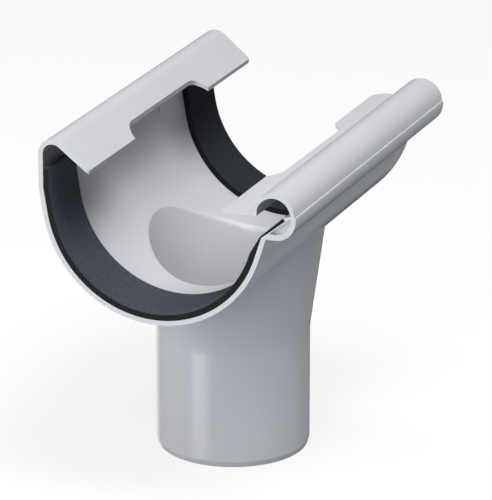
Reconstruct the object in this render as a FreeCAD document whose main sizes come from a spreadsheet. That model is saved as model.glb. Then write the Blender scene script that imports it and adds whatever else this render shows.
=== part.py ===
import FreeCAD, Part
import math
import os

import Sketcher
from FreeCAD import Vector

# Gutter outlet: a moulded length of half-round channel that hangs below two gutter ends, with a
# tapered neck and a round spigot for the downpipe. A folded flap clips over the gutter's back
# edge, a split bead housing takes its rolled front bead, and two foam seals line the ends.
#
# Frame: X across the channel (the flap at -X, the bead housing at +X), Y along it, Z up.
# The origin is the centre of the spigot's open end.

doc = FreeCAD.newDocument("gutter_outlet")
sheet = doc.addObject("Spreadsheet::Sheet", "size")

# Driving dimensions in millimetres and degrees. Heights in the section count from the axis of
# the half-round.
DRIVING_SIZES = [
    ("channelRadius", 56.3, "outside radius of the half-round"),
    ("wall", 2.3, "wall of the channel"),
    ("rearLean", 9.2, "outward lean of the rear wall, in degrees"),
    ("rearSetBack", 1.3, "rear face beyond the half-round"),
    ("frontLean", 18.0, "outward lean of the front wall, in degrees"),
    ("foldCentreHeight", 20.2, "centre of the fold"),
    ("foldRadius", 7.5, "outside radius of the fold"),
    ("flapSlope", 39.3, "slope of the flap, in degrees"),
    ("flapReach", 25.9, "rear face to the tip of the flap"),
    ("tipWall", 1.9, "height of the flap's end face"),
    ("notchDepth", 6.4, "notch in the flap, back from its tip"),
    ("notchHalfLength", 44.0, "half of the notch along the channel"),
    ("notchCorner", 11.0, "corner radius of the notch"),
    ("flapCorner", 1.4, "corner radius of the flap"),
    ("beadSetOut", 5.1, "centre of the housing's lower shell beyond the half-round"),
    ("beadHeight", 4.5, "height of that centre"),
    ("shellRadius", 10.6, "outside radius of the lower shell"),
    ("shellWall", 2.6, "wall of the lower shell"),
    ("ledgeHeight", 5.85, "height of the ledge along the lower shell"),
    ("hoodSetBack", 0.5, "centre of the hood behind the lower shell's"),
    ("hoodRise", 1.25, "centre of the hood above the lower shell's"),
    ("hoodRadius", 10.4, "outside radius of the hood over the bead"),
    ("hoodWall", 2.0, "wall of the hood"),
    ("shelfStart", 5.8, "start of the shelf, below the axis"),
    ("shelfSlope", 39.6, "slope of the shelf, in degrees"),
    ("shelfWall", 0.5, "wall of the shelf under the bead"),
    ("stopHeight", 6.5, "top of the seal's stop, where it meets the hood"),
    ("flangeWidth", 14.7, "width of the flange beside the hood"),
    ("flangeSlope", 3.4, "slope of the flange, in degrees"),
    ("flangeWall", 1.7, "wall of the flange"),
    ("flangeRootHeight", 6.3, "top of the flange where it meets the hood"),
    ("flangeCutDepth", 5.3, "how far the flange narrows, near its near end"),
    ("flangeCutDeepest", 6.2, "how far it narrows near its far end"),
    ("flangeCutNear", 43.3, "where the cut's near slant starts"),
    ("flangeCutRun", 5.7, "length of the near slant"),
    ("flangeCutBend", 8.2, "radius between the near slant and the narrow edge"),
    ("flangeCutFar", 33.5, "where the cut's far step starts"),
    ("flangeStepRun", 8.6, "length of the far step"),
    ("flangeStepBend", 2.5, "radius between the far step and the wide edge"),
    ("flangeCorner", 7.0, "far corner radius of the flange"),
    ("sealWidth", 30.5, "width of each seal along the channel"),
    ("sealWall", 3.0, "thickness of the seal on the half-round"),
    ("sealThin", 0.9, "thickness of the seal where the shelf starts"),
    ("sealEndWall", 1.65, "thickness of the seal at its end on the shelf"),
    ("sealReach", 15.4, "start of the shelf to the seal's end"),
    ("sealRearHeight", 13.3, "top end of the seal on the rear wall"),
    ("sealTaperStart", 14.0, "start of the thinning, below the axis"),
    ("floorLand", 15.1, "channel floor between the mouth of the neck and each seal"),
    ("mouthHalfLength", 48.9, "half of the neck's outside along the channel, at its top"),
    ("mouthInset", 12.15, "half-round's outside to the neck's outside, at its top"),
    ("mouthShift", 1.05, "shift of the neck's top towards the bead housing"),
    ("neckWall", 2.4, "wall of the neck and the spigot"),
    ("neckLength", 32.5, "channel's lowest line down to the spigot"),
    ("bendReach", 2.8, "reach of the bend at the neck's foot, up and down"),
    ("neckCrease", 2.0, "rounding where the neck meets the channel"),
    ("mouthRounding", 3.0, "rounding of the mouth's rim"),
    ("spigotRadius", 37.5, "outside radius of the spigot"),
    ("spigotLength", 60.7, "length of the spigot"),
    ("spigotChamferIn", 0.9, "chamfer at the spigot's end, across"),
    ("spigotChamferUp", 2.8, "chamfer at the spigot's end, along"),
]

for row, (alias, number, note) in enumerate(DRIVING_SIZES, 1):
    sheet.set("A%d" % row, note)
    sheet.set("B%d" % row, str(number))
    sheet.setAlias("B%d" % row, alias)
doc.recompute()


def number_of(expression):
    """The number that an expression of the sheet gives."""
    return float(sheet.evalExpression(expression))


# Derived lengths, as expressions of the sheet.
AXIS_HEIGHT = "(size.spigotLength + size.neckLength + size.channelRadius)"
HALF_LENGTH = "(size.mouthHalfLength + size.floorLand + size.sealWidth)"
INNER_RADIUS = "(size.channelRadius - size.wall)"
REAR_FACE = "(size.channelRadius + size.rearSetBack)"
REAR_INNER = "(size.channelRadius + size.rearSetBack - size.wall)"
BEAD_X = "(size.channelRadius + size.beadSetOut)"
HOOD_X = "(%s - size.hoodSetBack)" % BEAD_X
HOOD_Z = "(size.beadHeight + size.hoodRise)"
HOOD_INNER = "(size.hoodRadius - size.hoodWall)"
SHELL_INNER = "(size.shellRadius - size.shellWall)"
MOUTH_HALF_WIDTH = "(size.channelRadius - size.mouthInset)"
MOUTH_DROP = "sqrt(%s^2 - (%s + size.mouthShift)^2)" % (INNER_RADIUS, MOUTH_HALF_WIDTH)
MOUTH_HEIGHT = "(%s - %s)" % (AXIS_HEIGHT, MOUTH_DROP)
BEND_START = "(size.spigotLength - size.bendReach)"

# The bend's sections above its start: height and growth, as shares of the reach.
BEND_STEPS = [
    ("neck_bend_low", "(-1 / 3)", "(1 / 6)"),
    ("neck_bend_middle", "(1 / 3)", "(1 / 2)"),
    ("neck_bend_high", "1", "1"),
]


def arc_geometry(start, end, centre, turn):
    """An arc about centre; turn is 1 anticlockwise from start to end and -1 clockwise."""
    circle = Part.Circle(centre, Vector(0, 0, 1), start.distanceToPoint(centre))
    first, last = (start, end) if turn > 0 else (end, start)
    angles = [math.atan2(point.y - centre.y, point.x - centre.x) for point in (first, last)]
    if angles[1] <= angles[0]:
        angles[1] += 2 * math.pi
    return Part.ArcOfCircle(circle, angles[0], angles[1])


def hold(sketch, kind, geometry, point, expression):
    """Bind one coordinate of a sketch point to an expression."""
    index = sketch.addConstraint(
        Sketcher.Constraint(kind, -1, 1, geometry, point, number_of(expression))
    )
    sketch.setExpression("Constraints[%d]" % index, expression)


def draw_outline(sketch, corners):
    """Draw a closed outline from its corners, each with x and y as expressions.

    A corner that also has a centre x, a centre y and a turn is followed by an arc, the others
    by a straight line.
    """
    points = [Vector(number_of(corner[0]), number_of(corner[1]), 0) for corner in corners]
    edges = []
    for index, corner in enumerate(corners):
        start = points[index]
        end = points[(index + 1) % len(points)]
        if len(corner) == 2:
            geometry = sketch.addGeometry(Part.LineSegment(start, end))
            edges.append((geometry, 1, 2))
        else:
            centre = Vector(number_of(corner[2]), number_of(corner[3]), 0)
            geometry = sketch.addGeometry(arc_geometry(start, end, centre, corner[4]))
            edges.append((geometry, 1, 2) if corner[4] > 0 else (geometry, 2, 1))
    for index, (geometry, first, last) in enumerate(edges):
        following = edges[(index + 1) % len(edges)]
        sketch.addConstraint(
            Sketcher.Constraint("Coincident", geometry, last, following[0], following[1])
        )
        hold(sketch, "DistanceX", geometry, first, corners[index][0])
        hold(sketch, "DistanceY", geometry, first, corners[index][1])
        if len(corners[index]) > 2:
            chord = points[(index + 1) % len(points)] - points[index]
            if abs(chord.x) > abs(chord.y):
                hold(sketch, "DistanceY", geometry, 3, corners[index][3])
            else:
                hold(sketch, "DistanceX", geometry, 3, corners[index][2])


def new_sketch(body, name, role, **offsets):
    """A sketch on an origin plane of the body, moved by expressions for x, y or z."""
    sketch = body.newObject("Sketcher::SketchObject", name)
    plane = [item for item in body.Origin.OriginFeatures if item.Role == role][0]
    sketch.AttachmentSupport = [(plane, "")]
    sketch.MapMode = "FlatFace"
    for direction, expression in offsets.items():
        sketch.setExpression("AttachmentOffset.Base.%s" % direction, expression)
    return sketch


def section_sketch(body, name, corner_lists, **offsets):
    """A sketch across the channel, with its origin on the axis of the half-round."""
    sketch = new_sketch(body, name, "XZ_Plane", y=AXIS_HEIGHT, **offsets)
    for corners in corner_lists:
        draw_outline(sketch, corners)
    return sketch


def along_channel(body, kind, name, sketch, half_length):
    """Pad or pocket a section equally to both sides."""
    feature = body.newObject(kind, name)
    feature.Profile = sketch
    feature.SideType = "Symmetric"
    feature.setExpression("Length", "2 * %s" % half_length)
    doc.recompute()
    return feature


def rear_wall(radius, reach):
    """Tangent point and kink of the leaning rear wall, for one of its faces."""
    tangent = ("-%s * cos(size.rearLean)" % radius, "-%s * sin(size.rearLean)" % radius)
    kink_height = "(%s * cos(size.rearLean) - %s) / sin(size.rearLean)" % (reach, radius)
    return tangent, ("-%s" % reach, kink_height)


def front_wall(radius, height):
    """Tangent point of the leaning front wall and its point at a height, for one of its faces."""
    tangent = ("%s * cos(size.frontLean)" % radius, "-%s * sin(size.frontLean)" % radius)
    reach = "(%s / cos(size.frontLean) + (%s) * tan(size.frontLean))" % (radius, height)
    return tangent, (reach, height)


def on_circle(centre_x, centre_y, radius, angle):
    """A point of a circle at an angle, as expressions."""
    return (
        "%s + %s * cos(%s)" % (centre_x, radius, angle),
        "%s + %s * sin(%s)" % (centre_y, radius, angle),
    )


def above_shelf(point, lift):
    """The point that stands square above a point of the shelf."""
    return (
        "(%s - %s * sin(size.shelfSlope))" % (point[0], lift),
        "(%s + %s * cos(size.shelfSlope))" % (point[1], lift),
    )


# Shelf under the bead, up from the front wall. The seal lies on it and ends at a stop.
FRONT_TANGENT, SHELF_LOW = front_wall(INNER_RADIUS, "-size.shelfStart")
SEAL_END = (
    "(%s + size.sealReach * cos(size.shelfSlope))" % SHELF_LOW[0],
    "(%s + size.sealReach * sin(size.shelfSlope))" % SHELF_LOW[1],
)
SEAL_END_TOP = above_shelf(SEAL_END, "size.sealEndWall")
STOP_TOP = (
    "(%s + sqrt(%s^2 - (size.stopHeight - %s)^2))" % (HOOD_X, HOOD_INNER, HOOD_Z),
    "size.stopHeight",
)


def body_outlines():
    """The moulding's section: its outside and the hollow under the shelf."""
    outer_tangent, outer_kink = rear_wall("size.channelRadius", REAR_FACE)
    inner_tangent, inner_kink = rear_wall(INNER_RADIUS, REAR_INNER)
    fold_x = "(size.foldRadius - %s)" % REAR_FACE
    fold_inner = "(size.foldRadius - size.wall)"
    fold_end = on_circle(fold_x, "size.foldCentreHeight", "size.foldRadius", "90 - size.flapSlope")
    fold_inner_end = on_circle(fold_x, "size.foldCentreHeight", fold_inner, "90 - size.flapSlope")
    tip_x = "size.flapReach - %s" % REAR_FACE
    tip_top = "%s - (%s - (%s)) * tan(size.flapSlope)" % (fold_end[1], tip_x, fold_end[0])
    shell_low = "size.beadHeight - size.shellRadius"
    outer_front_tangent, shell_start = front_wall("size.channelRadius", shell_low)
    hood_left = "%s - sqrt(size.hoodRadius^2 - (size.flangeRootHeight - %s)^2)" % (HOOD_X, HOOD_Z)
    flange_x = "%s - size.hoodRadius - size.flangeWidth - size.hoodWall" % HOOD_X
    flange_fall = "(%s - (%s)) * tan(size.flangeSlope)" % (hood_left, flange_x)
    flange_under = "size.flangeRootHeight - size.flangeWall"
    hood_inner_left = "%s - sqrt(%s^2 - (%s - %s)^2)" % (HOOD_X, HOOD_INNER, flange_under, HOOD_Z)
    outside = [
        (tip_x, tip_top),
        fold_end + (fold_x, "size.foldCentreHeight", 1),
        ("-%s" % REAR_FACE, "size.foldCentreHeight"),
        outer_kink,
        outer_tangent + ("0", "0", 1),
        outer_front_tangent,
        shell_start,
        (BEAD_X, shell_low, BEAD_X, "size.beadHeight", 1),
        (
            "%s + sqrt(size.shellRadius^2 - (size.ledgeHeight - size.beadHeight)^2)" % BEAD_X,
            "size.ledgeHeight",
        ),
        (
            "%s + sqrt(size.hoodRadius^2 - (size.ledgeHeight - %s)^2)" % (HOOD_X, HOOD_Z),
            "size.ledgeHeight",
            HOOD_X,
            HOOD_Z,
            1,
        ),
        (hood_left, "size.flangeRootHeight"),
        (flange_x, "size.flangeRootHeight - %s" % flange_fall),
        (flange_x, "size.flangeRootHeight - %s - size.flangeWall" % flange_fall),
        (hood_inner_left, flange_under, HOOD_X, HOOD_Z, -1),
        STOP_TOP,
        SEAL_END_TOP,
        SEAL_END,
        SHELF_LOW,
        FRONT_TANGENT + ("0", "0", -1),
        inner_tangent,
        inner_kink,
        ("-%s" % REAR_INNER, "size.foldCentreHeight", fold_x, "size.foldCentreHeight", -1),
        fold_inner_end,
        (tip_x, "%s - size.tipWall" % tip_top),
    ]
    shelf_across = "(%s - %s) * sin(size.shelfSlope)" % (SHELF_LOW[0], BEAD_X)
    shelf_below = "(size.shelfStart + size.beadHeight) * cos(size.shelfSlope)"
    roof_offset = "(%s + %s + size.shelfWall)" % (shelf_across, shelf_below)
    half_opening = "acos(%s / %s)" % (roof_offset, SHELL_INNER)
    hollow_low = "size.shelfSlope * 1 deg - 90 deg - %s" % half_opening
    hollow_high = "size.shelfSlope * 1 deg - 90 deg + %s" % half_opening
    hollow = [
        on_circle(BEAD_X, "size.beadHeight", SHELL_INNER, hollow_low)
        + (BEAD_X, "size.beadHeight", 1),
        on_circle(BEAD_X, "size.beadHeight", SHELL_INNER, hollow_high),
    ]
    return outside, hollow


def seal_outline():
    """A seal's section: its outside lies on the moulding's inside."""
    inner_radius = "(%s - size.sealWall)" % INNER_RADIUS
    outer_tangent, outer_kink = rear_wall(INNER_RADIUS, REAR_INNER)
    inner_tangent, inner_kink = rear_wall(inner_radius, "(%s - size.sealWall)" % REAR_INNER)
    return [
        ("-%s" % REAR_INNER, "size.sealRearHeight"),
        outer_kink,
        outer_tangent + ("0", "0", 1),
        FRONT_TANGENT,
        SHELF_LOW,
        SEAL_END,
        SEAL_END_TOP,
        above_shelf(SHELF_LOW, "size.sealThin"),
        (
            "sqrt(%s^2 - size.sealTaperStart^2)" % inner_radius,
            "-size.sealTaperStart",
            "0",
            "0",
            -1,
        ),
        inner_tangent,
        inner_kink,
        ("size.sealWall - %s" % REAR_INNER, "size.sealRearHeight"),
    ]


def ellipse_sketch(body, name, half_width, half_length, shift, height):
    """A level ellipse, long along Y or along X as its sizes say."""
    sketch = new_sketch(body, name, "XY_Plane", x=shift, z=height)
    across = number_of(half_width)
    along = number_of(half_length)
    long_end = Vector(0, along, 0) if along >= across else Vector(across, 0, 0)
    short_end = Vector(across, 0, 0) if along >= across else Vector(0, along, 0)
    sketch.addGeometry(Part.Ellipse(long_end, short_end, Vector(0, 0, 0)))
    sketch.exposeInternalGeometry(0)
    sketch.addConstraint(Sketcher.Constraint("Coincident", 0, 3, -1, 1))
    sketch.addConstraint(Sketcher.Constraint("Vertical" if along >= across else "Horizontal", 1))
    lengths = [half_length, half_width] if along >= across else [half_width, half_length]
    for axis, expression in enumerate(lengths, 1):
        index = sketch.addConstraint(
            Sketcher.Constraint("Distance", axis, 2 * number_of(expression))
        )
        sketch.setExpression("Constraints[%d]" % index, "2 * %s" % expression)
    return sketch


def circle_sketch(body, name, radius, height):
    """A circle about the spigot's axis, turned so that it starts where the ellipse does."""
    sketch = new_sketch(body, name, "XY_Plane", z=height)
    sketch.AttachmentOffset = FreeCAD.Placement(Vector(0, 0, 0), FreeCAD.Rotation(90, 0, 0))
    sketch.addGeometry(Part.Circle(Vector(0, 0, 0), Vector(0, 0, 1), number_of(radius)))
    sketch.addConstraint(Sketcher.Constraint("Coincident", 0, 3, -1, 1))
    index = sketch.addConstraint(Sketcher.Constraint("Radius", 0, number_of(radius)))
    sketch.setExpression("Constraints[%d]" % index, radius)
    return sketch


def bend_sketches(body):
    """Sections of the bend at the neck's foot, where its side turns from upright to its slope."""
    neck_height = "(%s - size.spigotLength)" % MOUTH_HEIGHT
    sketches = []
    for name, level, growth in BEND_STEPS:
        share = "(%s * size.bendReach / %s)" % (growth, neck_height)
        sketch = ellipse_sketch(
            body,
            name,
            "(size.spigotRadius + (%s - size.spigotRadius) * %s)" % (MOUTH_HALF_WIDTH, share),
            "(size.spigotRadius + (size.mouthHalfLength - size.spigotRadius) * %s)" % share,
            "size.mouthShift * %s" % share,
            "size.spigotLength + size.bendReach * %s" % level,
        )
        sketches.append(sketch)
    return sketches


def loft(body, kind, name, low_sketch, other_sketches):
    """A straight-sided loft through sketches, from the lowest up."""
    feature = body.newObject(kind, name)
    feature.Profile = low_sketch
    feature.Sections = other_sketches
    feature.Ruled = True
    doc.recompute()
    return feature


def picked_edges(shape, test):
    """Names of the edges of which every sampled point passes the test."""
    names = []
    for index, edge in enumerate(shape.Edges, 1):
        if all(test(point) for point in edge.discretize(7)):
            names.append("Edge%d" % index)
    return names


def round_edges(body, name, test, radius):
    """Fillet the edges that the test picks."""
    base = body.Tip
    fillet = body.newObject("PartDesign::Fillet", name)
    fillet.Base = (base, picked_edges(base.Shape, test))
    fillet.setExpression("Radius", radius)
    doc.recompute()
    return fillet


def cut_down(body, name, corners, top, depth):
    """Pocket an outline downwards from a height above the axis."""
    sketch = new_sketch(body, name + "_outline", "XY_Plane", z="%s + %s" % (AXIS_HEIGHT, top))
    draw_outline(sketch, corners)
    before = body.Tip.Shape.Volume
    pocket = body.newObject("PartDesign::Pocket", name)
    pocket.Profile = sketch
    pocket.setExpression("Length", depth)
    doc.recompute()
    if pocket.Shape.Volume >= before:
        raise ValueError("%s cuts nothing" % name)
    return pocket


def notch_corners():
    """Rounded rectangle that takes the middle out of the flap's tip."""
    back = "(size.flapReach - size.notchDepth - %s)" % REAR_FACE
    front = "(size.flapReach + size.notchCorner - %s)" % REAR_FACE
    bend_x = "(%s + size.notchCorner)" % back
    bend_y = "(size.notchHalfLength - size.notchCorner)"
    return [
        (back, "-%s" % bend_y, bend_x, "-%s" % bend_y, 1),
        (bend_x, "-size.notchHalfLength"),
        (front, "-size.notchHalfLength"),
        (front, "size.notchHalfLength"),
        (bend_x, "size.notchHalfLength", bend_x, bend_y, 1),
        (back, bend_y),
    ]


def bend_between(depth, run, radius):
    """A rounded corner between a slant and the direction of the channel.

    Gives the length that the rounding takes from both sides, and its part of the slant as two
    steps, across and along.
    """
    slant = "sqrt((%s)^2 + (%s)^2)" % (depth, run)
    reach = "(%s * tan(atan((%s) / (%s)) / 2))" % (radius, depth, run)
    across = "(%s * (%s) / %s)" % (reach, depth, slant)
    along = "(%s * (%s) / %s)" % (reach, run, slant)
    return reach, across, along


def flange_edge_corners():
    """What is trimmed off the flange: its free edge narrows in the middle."""
    wide = "(%s - size.hoodRadius - size.flangeWidth)" % HOOD_X
    narrow = "(%s + size.flangeCutDepth)" % wide
    narrowest = "(%s + size.flangeCutDeepest)" % wide
    outside = "(%s - 2 * size.hoodWall)" % wide
    beyond = "(%s + size.sealWidth)" % HALF_LENGTH
    near_reach, near_across, near_along = bend_between(
        "size.flangeCutDepth", "size.flangeCutRun", "size.flangeCutBend"
    )
    slant_end = "(size.flangeCutRun - size.flangeCutNear)"
    far_reach, far_across, far_along = bend_between(
        "size.flangeCutDeepest", "size.flangeStepRun", "size.flangeStepBend"
    )
    step_end = "(size.flangeCutFar + size.flangeStepRun)"
    corner_start = "(%s - size.flangeCorner)" % HALF_LENGTH
    return [
        (wide, "-%s" % beyond),
        (wide, "-size.flangeCutNear"),
        (
            "%s - %s" % (narrow, near_across),
            "%s - %s" % (slant_end, near_along),
            "%s - size.flangeCutBend" % narrow,
            "%s + %s" % (slant_end, near_reach),
            1,
        ),
        (narrow, "%s + %s" % (slant_end, near_reach)),
        (narrowest, "size.flangeCutFar"),
        (
            "%s + %s" % (wide, far_across),
            "%s - %s" % (step_end, far_along),
            "%s + size.flangeStepBend" % wide,
            "%s + %s" % (step_end, far_reach),
            -1,
        ),
        (wide, "%s + %s" % (step_end, far_reach)),
        (wide, corner_start, "%s + size.flangeCorner" % wide, corner_start, -1),
        ("%s + size.flangeCorner" % wide, HALF_LENGTH),
        ("%s + size.flangeCorner" % wide, beyond),
        (outside, beyond),
        (outside, "-%s" % beyond),
    ]


def make_outlet_body():
    """The moulding: spigot, neck, channel, flap and bead housing in one piece."""
    body = doc.addObject("PartDesign::Body", "outlet_body")
    bore_radius = "(size.spigotRadius - size.neckWall)"
    spigot_section = new_sketch(body, "spigot_section", "XZ_Plane")
    draw_outline(
        spigot_section,
        [
            (bore_radius, "0"),
            ("size.spigotRadius - size.spigotChamferIn", "0"),
            ("size.spigotRadius", "size.spigotChamferUp"),
            ("size.spigotRadius", BEND_START),
            (bore_radius, BEND_START),
        ],
    )
    spigot = body.newObject("PartDesign::Revolution", "spigot")
    spigot.Profile = spigot_section
    spigot.ReferenceAxis = (spigot_section, ["V_Axis"])
    spigot.Angle = 360
    doc.recompute()

    neck_foot = circle_sketch(body, "neck_foot", "size.spigotRadius", BEND_START)
    neck_top = ellipse_sketch(
        body,
        "neck_top",
        MOUTH_HALF_WIDTH,
        "size.mouthHalfLength",
        "size.mouthShift",
        MOUTH_HEIGHT,
    )
    neck_sections = bend_sketches(body) + [neck_top]
    loft(body, "PartDesign::AdditiveLoft", "neck", neck_foot, neck_sections)

    trough = section_sketch(
        body,
        "trough_outline",
        [[("-%s" % INNER_RADIUS, "0", "0", "0", 1), (INNER_RADIUS, "0")]],
    )
    along_channel(body, "PartDesign::Pocket", "trough", trough, HALF_LENGTH)

    channel_section = section_sketch(body, "channel_section", body_outlines())
    along_channel(body, "PartDesign::Pad", "channel", channel_section, HALF_LENGTH)

    axis_height = number_of(AXIS_HEIGHT)
    channel_radius = number_of("size.channelRadius")
    mouth_reach = number_of("size.mouthHalfLength")

    def on_neck_crease(point):
        distance = math.hypot(point.x, point.z - axis_height)
        return abs(distance - channel_radius) < 0.01 and abs(point.y) <= mouth_reach

    round_edges(body, "neck_crease", on_neck_crease, "size.neckCrease")

    passage_foot = circle_sketch(body, "passage_foot", bore_radius, BEND_START)
    passage_bend = circle_sketch(body, "passage_bend", bore_radius, "size.spigotLength")
    passage_top = ellipse_sketch(
        body,
        "passage_top",
        "(%s - size.neckWall)" % MOUTH_HALF_WIDTH,
        "(size.mouthHalfLength - size.neckWall)",
        "size.mouthShift",
        MOUTH_HEIGHT,
    )
    passage_sections = [passage_bend, passage_top]
    loft(body, "PartDesign::SubtractiveLoft", "passage", passage_foot, passage_sections)

    inner_radius = number_of(INNER_RADIUS)

    def on_rim(point):
        distance = math.hypot(point.x, point.z - axis_height)
        return abs(distance - inner_radius) < 0.01 and abs(point.y) < mouth_reach

    round_edges(body, "mouth_rounding", on_rim, "size.mouthRounding")

    cut_down(
        body,
        "flap_notch",
        notch_corners(),
        "size.foldCentreHeight + size.foldRadius",
        "size.foldCentreHeight + size.foldRadius",
    )
    cut_down(
        body,
        "flange_edge",
        flange_edge_corners(),
        "size.flangeRootHeight + size.flangeWall",
        "size.flangeRootHeight + size.flangeWall",
    )

    half_length = number_of(HALF_LENGTH)
    tip_x = number_of("size.flapReach - %s" % REAR_FACE)

    def on_flap_corner(point):
        at_tip = abs(point.x - tip_x) < 0.01 and point.z > axis_height
        return at_tip and abs(abs(point.y) - half_length) < 0.01

    round_edges(body, "flap_corners", on_flap_corner, "size.flapCorner")
    return body


def make_seal(name, side):
    """A foam strip on the channel's inside, flush with one end; side is -1 near and 1 far."""
    body = doc.addObject("PartDesign::Body", name)
    sketch = section_sketch(
        body,
        name + "_section",
        [seal_outline()],
        z="%d * (%s - size.sealWidth / 2)" % (-side, HALF_LENGTH),
    )
    along_channel(body, "PartDesign::Pad", name + "_strip", sketch, "(size.sealWidth / 2)")
    return body


pieces = [make_outlet_body(), make_seal("near_seal", -1), make_seal("far_seal", 1)]
doc.recompute()

for item in doc.Objects:
    if "Invalid" in item.State or "Error" in item.State:
        raise ValueError("%s failed: %s" % (item.Name, item.State))

os.makedirs("parts", exist_ok=True)
for piece in pieces:
    shape = piece.Shape
    if shape.isNull() or not shape.isValid() or len(shape.Solids) != 1:
        raise ValueError("%s is not one sound solid" % piece.Label)
    shape.exportStep("parts/%s.step" % piece.Label)
    print("%s: %.1f cm3" % (piece.Label, shape.Volume / 1000))
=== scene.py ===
from math import cos, radians, sin

import bpy
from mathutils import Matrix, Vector


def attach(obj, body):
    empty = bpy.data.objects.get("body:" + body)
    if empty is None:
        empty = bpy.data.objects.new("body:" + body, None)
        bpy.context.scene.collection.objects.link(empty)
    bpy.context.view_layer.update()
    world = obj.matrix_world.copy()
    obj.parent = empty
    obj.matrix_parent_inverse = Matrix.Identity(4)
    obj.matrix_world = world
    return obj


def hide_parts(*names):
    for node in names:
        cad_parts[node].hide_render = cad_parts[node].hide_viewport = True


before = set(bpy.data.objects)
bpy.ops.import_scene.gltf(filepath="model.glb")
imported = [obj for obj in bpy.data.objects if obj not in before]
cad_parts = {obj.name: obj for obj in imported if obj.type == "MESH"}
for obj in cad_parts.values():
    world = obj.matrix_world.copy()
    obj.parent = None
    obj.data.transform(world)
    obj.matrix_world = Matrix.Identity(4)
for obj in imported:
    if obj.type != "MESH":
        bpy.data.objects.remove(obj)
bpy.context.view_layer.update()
mm = 0.001


# Picking, copying and finishing

meshFinish = {
    "mergeDistance": 0.002 * mm,
    "flatAngle": radians(0.1),         # faces this close to one plane become one face
    "roundedAngle": radians(16.5),     # edges that turn more than this are rounded
    "roundedSteps": 2,
    "smoothAngle": radians(60),        # and edges under this are shaded smooth
}


def activate(*pieces):
    # selects only these, the first one active
    bpy.ops.object.select_all(action='DESELECT')
    for piece in pieces:
        piece.select_set(True)
    bpy.context.view_layer.objects.active = pieces[0]


def addPrimitive(add, stretch=(1, 1, 1), **settings):
    # a primitive by itself, with its place, turn and size put into its mesh
    bpy.ops.object.select_all(action='DESELECT')
    add(**settings)
    piece = bpy.context.view_layer.objects.active
    piece.scale = stretch
    bpy.ops.object.transform_apply(location=True, rotation=True, scale=True)
    return piece


def copyNode(nodeName, pieceName):
    # a clean copy of a CAD node's mesh: loose triangles merged, flat areas made whole faces
    activate(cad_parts[nodeName])
    bpy.ops.object.duplicate()
    piece = bpy.context.view_layer.objects.active
    piece.name = pieceName
    piece.data.name = pieceName
    for key in list(piece.keys()):
        del piece[key]
    bpy.ops.object.mode_set(mode='EDIT')
    bpy.ops.mesh.select_all(action='SELECT')
    bpy.ops.mesh.remove_doubles(threshold=meshFinish["mergeDistance"])
    bpy.ops.mesh.dissolve_limited(angle_limit=meshFinish["flatAngle"])
    bpy.ops.object.mode_set(mode='OBJECT')
    return piece


def softenEdges(piece, width):
    # rounds what the tool leaves sharp, and lets the large faces lead the shading
    activate(piece)
    rounding = piece.modifiers.new("edges", 'BEVEL')
    rounding.width = width
    rounding.segments = meshFinish["roundedSteps"]
    rounding.limit_method = 'ANGLE'
    rounding.angle_limit = meshFinish["roundedAngle"]
    rounding.use_clamp_overlap = True
    bpy.ops.object.modifier_apply(modifier=rounding.name)
    bpy.ops.object.shade_smooth_by_angle(angle=meshFinish["smoothAngle"])
    lead = piece.modifiers.new("leadingFaces", 'WEIGHTED_NORMAL')
    lead.keep_sharp = True
    bpy.ops.object.modifier_apply(modifier=lead.name)


# Building blocks of the materials

def clearTree(owner, outputKind):
    # a material's or the world's nodes with nothing but the output
    owner.use_nodes = True
    tree = owner.node_tree
    tree.nodes.clear()
    return tree, tree.nodes.new(outputKind).inputs['Surface']


def newMaterial(name):
    material = bpy.data.materials.new(name)
    tree, surface = clearTree(material, 'ShaderNodeOutputMaterial')
    return material, tree, surface


def newFinish(name):
    # a material with one Principled shader, and the coordinates that its patterns follow
    material, tree, surface = newMaterial(name)
    shader = tree.nodes.new('ShaderNodeBsdfPrincipled')
    tree.links.new(shader.outputs['BSDF'], surface)
    return material, tree, shader, tree.nodes.new('ShaderNodeTexCoord').outputs


def noise(tree, place, scale, detail):
    texture = tree.nodes.new('ShaderNodeTexNoise')
    texture.inputs['Scale'].default_value = scale
    texture.inputs['Detail'].default_value = detail
    tree.links.new(place, texture.inputs['Vector'])
    return texture.outputs['Fac']


def ramp(tree, value, stops, colours):
    node = tree.nodes.new('ShaderNodeValToRGB')
    for element, stop, colour in zip(node.color_ramp.elements, stops, colours):
        element.position = stop
        element.color = colour
    tree.links.new(value, node.inputs['Fac'])
    return node.outputs['Color']


def maths(tree, operation, *values):
    node = tree.nodes.new('ShaderNodeMath')
    node.operation = operation
    for number, value in enumerate(values):
        if isinstance(value, (int, float)):
            node.inputs[number].default_value = value
        else:
            tree.links.new(value, node.inputs[number])
    return node.outputs['Value']


def product(tree, *values):
    result = values[0]
    for value in values[1:]:
        result = maths(tree, 'MULTIPLY', result, value)
    return result


def difference(tree, first, second):
    return maths(tree, 'SUBTRACT', first, second)


def eitherWay(tree, value):
    return maths(tree, 'ABSOLUTE', value)


def fade(tree, value, start, end, low=0, high=1):
    # low before the start, high after the end
    spread = tree.nodes.new('ShaderNodeMapRange')
    spread.inputs['From Min'].default_value = start
    spread.inputs['From Max'].default_value = end
    spread.inputs['To Min'].default_value = low
    spread.inputs['To Max'].default_value = high
    tree.links.new(value, spread.inputs['Value'])
    return spread.outputs['Result']


def splitVector(tree, vector):
    split = tree.nodes.new('ShaderNodeSeparateXYZ')
    tree.links.new(vector, split.inputs['Vector'])
    return split.outputs['X'], split.outputs['Y'], split.outputs['Z']


def deepen(tree, colour, amount):
    # the colour times a grey amount; 6, 7 and 2 are this node's colour sockets
    node = tree.nodes.new('ShaderNodeMix')
    node.data_type = 'RGBA'
    node.blend_type = 'MULTIPLY'
    node.inputs['Factor'].default_value = 1
    tree.links.new(colour, node.inputs[6])
    tree.links.new(amount, node.inputs[7])
    return node.outputs[2]


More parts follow.
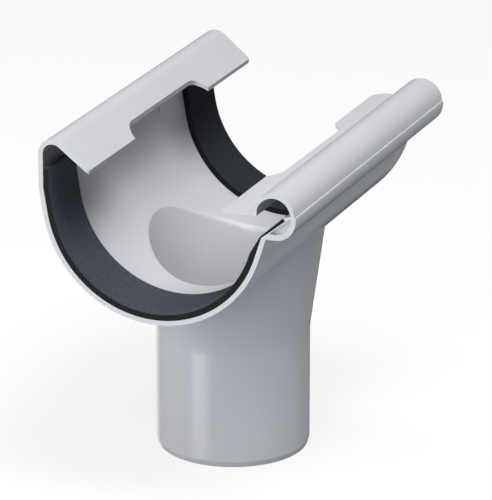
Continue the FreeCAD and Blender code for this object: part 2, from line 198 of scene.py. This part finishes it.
def addRelief(tree, shader, texture, strength, height):
    bump = tree.nodes.new('ShaderNodeBump')
    bump.inputs['Strength'].default_value = strength
    bump.inputs['Distance'].default_value = height
    tree.links.new(texture, bump.inputs['Height'])
    tree.links.new(bump.outputs['Normal'], shader.inputs['Normal'])


# Plastic of the moulding

moulding = {
    "colours": ((0.602, 0.609, 0.636, 1), (0.616, 0.623, 0.650, 1)),
    "colourStops": (0.35, 0.65),
    "roughness": (0.20, 0.23),
    "ior": 1.46,
    "cloudScale": 22,          # slow drift of tone across the moulding
    "cloudDetail": 3,
    "grainScale": 900,         # fine texture of the tool's surface
    "grainDetail": 2,
    "grainStrength": 0.25,
    "grainHeight": 0.02 * mm,
}

# painted shade: places whose colour is darkened where shade falls; how much deeper each reads,
# then what is measured there, with the value where the tone sets in and the value where it is full
paintedShadePlaces = {
    # painted shade inside the fold, on the rear wall under the flap, near both ends
    "insideOfFold": (0.76, [
        ("up", 161.8 * mm, 163.2 * mm),
        ("front", -44 * mm, -46 * mm),
        ("outToEnds", 61 * mm, 65 * mm),
        ("facingUp", 0.45, 0.2),
        ("facingUpLessFront", 0.6, 0.3),
        ("facingEnds", 0.7, 0.5),
    ]),
    # painted contact shadow on the lower shell's foot, under the ledge of the hood
    "footOfShell": (0.85, [
        ("front", 60.5 * mm, 62.5 * mm),
        ("up", 151.5 * mm, 146 * mm),
        ("facingFront", -0.1, 0.1),
        ("facingEnds", 0.7, 0.5),
    ]),
    # painted shade on the flap's lip, the face turned towards the bead housing
    "lipOfFlap": (0.45, [
        ("facingFront", 0.8, 0.92),
        ("up", 158 * mm, 160 * mm),
        ("front", -46 * mm, -44 * mm),
        ("front", -28 * mm, -30 * mm),
    ]),
}


def makeMouldingPlastic():
    material, tree, shader, coordinates = newFinish("paleGreyPlastic")
    cloud = noise(tree, coordinates['Object'], moulding["cloudScale"], moulding["cloudDetail"])
    colour = ramp(tree, cloud, moulding["colourStops"], moulding["colours"])

    x, y, z = splitVector(tree, coordinates['Object'])
    turnX, turnY, turnZ = splitVector(tree, coordinates['Normal'])
    measures = {
        "front": x,
        "outToEnds": eitherWay(tree, y),
        "up": z,
        "facingFront": turnX,
        "facingEnds": eitherWay(tree, turnY),
        "facingUp": turnZ,
        "facingUpLessFront": difference(tree, turnZ, turnX),
    }
    # painted shade: the colour is darkened by each place's share in the table above
    light = 1
    for share, limits in paintedShadePlaces.values():
        place = product(tree, *[fade(tree, measures[measure], start, end)
                                for measure, start, end in limits])
        light = difference(tree, light, product(tree, place, share))
    tree.links.new(deepen(tree, colour, light), shader.inputs['Base Color'])

    tree.links.new(fade(tree, cloud, 0, 1, *moulding["roughness"]), shader.inputs['Roughness'])
    shader.inputs['IOR'].default_value = moulding["ior"]
    grain = noise(tree, coordinates['Object'], moulding["grainScale"], moulding["grainDetail"])
    addRelief(tree, shader, grain, moulding["grainStrength"], moulding["grainHeight"])
    return material


# Foam rubber of the seals

foam = {
    "colours": ((0.038, 0.045, 0.057, 1), (0.080, 0.092, 0.113, 1)),      # skin and cells
    "colourStops": (0.40, 0.72),
    "roughness": 0.82,
    "specular": 0.25,
    "cellScale": 1500,
    "cellDetail": 3,
    "cellStrength": 0.5,
    "cellHeight": 0.12 * mm,
    "farPaintedShade": 0.36,                     # painted shade: the far strip is darkened, as it keeps less light than the near one
    "farShadeFade": (-60 * mm, 60 * mm),
    "endFacePaintedShade": 0.2,                      # painted shade: the faces turned along the strip read deeper than its long faces
    "endFaceShadeFade": (0.4, 0.8),
}


def makeFoamRubber():
    material, tree, shader, coordinates = newFinish("slateFoamRubber")
    cells = noise(tree, coordinates['Object'], foam["cellScale"], foam["cellDetail"])
    colour = ramp(tree, cells, foam["colourStops"], foam["colours"])
    along = splitVector(tree, coordinates['Object'])[1]
    turn = eitherWay(tree, splitVector(tree, coordinates['Normal'])[1])
    # painted shade: darker towards the far strip, and on the faces turned along the strip
    light = product(tree,
                    fade(tree, along, *foam["farShadeFade"], 1, foam["farPaintedShade"]),
                    fade(tree, turn, *foam["endFaceShadeFade"], 1, foam["endFacePaintedShade"]))
    tree.links.new(deepen(tree, colour, light), shader.inputs['Base Color'])
    shader.inputs['Specular IOR Level'].default_value = foam["specular"]
    shader.inputs['Roughness'].default_value = foam["roughness"]
    addRelief(tree, shader, cells, foam["cellStrength"], foam["cellHeight"])
    return material


def dress(piece, material, nodeName):
    piece.data.materials.clear()
    piece.data.materials.append(material)
    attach(piece, "root")
    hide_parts(nodeName)


plastic = makeMouldingPlastic()
rubber = makeFoamRubber()
print("materials ready")


# The moulding

outletFinish = {
    "edge": 0.32 * mm,
    "bendRows": (57.4 * mm, 64.4 * mm),      # just under and over the bend of the neck
}

# small stop for the gutter's end on the rear wall's inner face
nib = {
    "middle": (-54.7 * mm, 37.6 * mm, 153.7 * mm),
    "size": (2.2 * mm, 0.9 * mm, 7.6 * mm),
}

# shallow ends of the hollow under the shelf: discs cut off along the shelf's underside
hollowEnds = {
    "x": 61.4 * mm,                          # axis of the lower shell
    "z": 154.0 * mm,
    "eitherSide": (-91.15 * mm, 91.15 * mm),
    "radius": 8.4 * mm,
    "wall": 1.5 * mm,
    "corners": 64,
    "roof": (55.053 * mm, 0, 143.507 * mm),
    "roofFacing": (0.6374, 0, -0.7705),
}

outlet = copyNode("outlet_body", "outlet_moulding")
additions = [addPrimitive(bpy.ops.mesh.primitive_cube_add, nib["size"],
                          size=1, location=nib["middle"])]
for y in hollowEnds["eitherSide"]:
    disc = addPrimitive(bpy.ops.mesh.primitive_cylinder_add,
                        vertices=hollowEnds["corners"], radius=hollowEnds["radius"],
                        depth=hollowEnds["wall"], rotation=(radians(90), 0, 0),
                        location=(hollowEnds["x"], y, hollowEnds["z"]))
    bpy.ops.object.mode_set(mode='EDIT')
    bpy.ops.mesh.select_all(action='SELECT')
    bpy.ops.mesh.bisect(plane_co=hollowEnds["roof"], plane_no=hollowEnds["roofFacing"],
                        clear_inner=True, use_fill=True)
    bpy.ops.object.mode_set(mode='OBJECT')
    additions.append(disc)
activate(outlet, *additions)
bpy.ops.object.join()

# a row of vertices each side of the bend keeps its shading between them
bpy.ops.object.mode_set(mode='EDIT')
for height in outletFinish["bendRows"]:
    bpy.ops.mesh.select_all(action='SELECT')
    bpy.ops.mesh.bisect(plane_co=(0, 0, height), plane_no=(0, 0, 1))
bpy.ops.object.mode_set(mode='OBJECT')
softenEdges(outlet, outletFinish["edge"])
dress(outlet, plastic, "outlet_body")
print("moulding ready:", len(outlet.data.polygons), "faces")


# The seals

sealFinish = {
    "edge": 0.35 * mm,
}

for nodeName in ("near_seal", "far_seal"):
    strip = copyNode(nodeName, nodeName + "_foam")
    softenEdges(strip, sealFinish["edge"])
    dress(strip, rubber, nodeName)
print("seals ready")


# Floor and background

stage = {
    "floorSize": 30,
    "floorTone": (0.285, 0.302, 0.340, 1),   # the floor as it lights the part
    "floorSeen": (0.20, 0.20, 0.20, 1),      # and as the camera sees it, which keeps the shadow
    "floorLift": 0.78,                       # brings the unshaded floor near white
    "worldTone": (0.76, 0.88, 1.0, 1),
    "worldStrength": 0.05,
    "backTone": (1, 1, 1, 1),                # what the camera sees beyond the floor
    "backStrength": 1,
}


def diffuse(tree, colour):
    node = tree.nodes.new('ShaderNodeBsdfDiffuse')
    node.inputs['Color'].default_value = colour
    return node.outputs['BSDF']


def glow(tree, strength):
    node = tree.nodes.new('ShaderNodeEmission')
    node.inputs['Strength'].default_value = strength
    return node.outputs['Emission']


def background(tree, colour, strength):
    node = tree.nodes.new('ShaderNodeBackground')
    node.inputs['Color'].default_value = colour
    node.inputs['Strength'].default_value = strength
    return node.outputs['Background']


def chooseForCamera(tree, surface, otherwise, seen):
    # the camera sees one shader, and the light that reaches the part comes from the other
    path = tree.nodes.new('ShaderNodeLightPath')
    choose = tree.nodes.new('ShaderNodeMixShader')
    tree.links.new(path.outputs['Is Camera Ray'], choose.inputs['Fac'])
    tree.links.new(otherwise, choose.inputs[1])
    tree.links.new(seen, choose.inputs[2])
    tree.links.new(choose.outputs['Shader'], surface)


def makeFloorMaterial():
    material, tree, surface = newMaterial("paleFloor")
    together = tree.nodes.new('ShaderNodeAddShader')
    tree.links.new(diffuse(tree, stage["floorSeen"]), together.inputs[0])
    tree.links.new(glow(tree, stage["floorLift"]), together.inputs[1])
    chooseForCamera(tree, surface, diffuse(tree, stage["floorTone"]), together.outputs['Shader'])
    return material


floor = addPrimitive(bpy.ops.mesh.primitive_plane_add, size=stage["floorSize"], location=(0, 0, 0))
floor.name = "floor"
floor.data.materials.append(makeFloorMaterial())
floor.visible_glossy = False       # the part's gloss shows the cards below, not the floor

world = bpy.data.worlds.new("studio")
bpy.context.scene.world = world
worldTree, worldSurface = clearTree(world, 'ShaderNodeOutputWorld')
chooseForCamera(worldTree, worldSurface,
                background(worldTree, stage["worldTone"], stage["worldStrength"]),
                background(worldTree, stage["backTone"], stage["backStrength"]))


# Lamps and cards, all facing one point on the part

lightTarget = Vector((0, 0, 100 * mm))

# azimuth from the near end towards the bead housing, elevation, distance, size, watts
softboxes = {
    "highRight": (50, 68, 1.7, 0.8, 16.6),
    "overCamera": (20, 48, 1.8, 0.9, 3.8),
    "lowLeft": (-30, 20, 1.8, 0.9, 6.4),
    "nearLow": (10, 14, 1.8, 0.9, 10.6),
    "sideLeft": (-78, 22, 1.8, 0.9, 13.0),
    "topRight": (90, 62, 1.7, 0.8, 7.4),
    "topBack": (180, 60, 1.7, 0.8, 4.2),
}

# cards that only the gloss shows: azimuth, elevation, distance, width, height, strength
cards = {
    "bandCard": (-27, -18, 1.5, 0.62, 0.42, 4.2),
    "rimCard": (-142, -24, 1.5, 0.9, 0.5, 1.1),
    "underCard": (0, -90, 1.0, 12, 12, 0.36),
    "darkCard": (196, -20, 0.9, 0.28, 0.4, 0),
}


def armFromTarget(azimuth, elevation, distance):
    level = distance * cos(radians(elevation))
    return Vector((level * sin(radians(azimuth)), -level * cos(radians(azimuth)),
                   distance * sin(radians(elevation))))


def addSoftbox(name, azimuth, elevation, distance, size, watts):
    lamp = bpy.data.lights.new(name, 'AREA')
    lamp.shape = 'RECTANGLE'
    lamp.size = lamp.size_y = size
    lamp.energy = watts
    holder = bpy.data.objects.new(name, lamp)
    bpy.context.scene.collection.objects.link(holder)
    arm = armFromTarget(azimuth, elevation, distance)
    holder.location = lightTarget + arm
    holder.rotation_euler = (-arm).to_track_quat('-Z', 'Y').to_euler()


def addCard(name, azimuth, elevation, distance, width, height, strength):
    arm = armFromTarget(azimuth, elevation, distance)
    card = addPrimitive(bpy.ops.mesh.primitive_plane_add, (width, height, 1),
                        size=1, location=lightTarget + arm,
                        rotation=arm.to_track_quat('Z', 'Y').to_euler())
    card.name = name
    material, tree, surface = newMaterial(name)
    tree.links.new(glow(tree, strength), surface)
    material.cycles.emission_sampling = 'NONE'
    card.data.materials.append(material)
    card.visible_camera = card.visible_diffuse = card.visible_shadow = False
    card.visible_transmission = card.visible_volume_scatter = False


for name, settings in softboxes.items():
    addSoftbox(name, *settings)
for name, settings in cards.items():
    addCard(name, *settings)


# Camera

camera = {
    "place": (0.772285, -1.783784, 0.8067),
    "azimuth": 23.224,
    "elevation": 20.019,
    "lens": 307.776,
    "sensorWidth": 36,
    "clip": (0.05, 60),
}

eye = bpy.data.cameras.new("camera")
eye.sensor_fit = 'AUTO'
eye.sensor_width = camera["sensorWidth"]
eye.lens = camera["lens"]
eye.clip_start, eye.clip_end = camera["clip"]
holder = bpy.data.objects.new("camera", eye)
bpy.context.scene.collection.objects.link(holder)
holder.location = camera["place"]
holder.rotation_euler = (radians(90 - camera["elevation"]), 0, radians(camera["azimuth"]))
bpy.context.scene.camera = holder
bpy.context.scene.view_settings.view_transform = 'Standard'
print("stage ready")
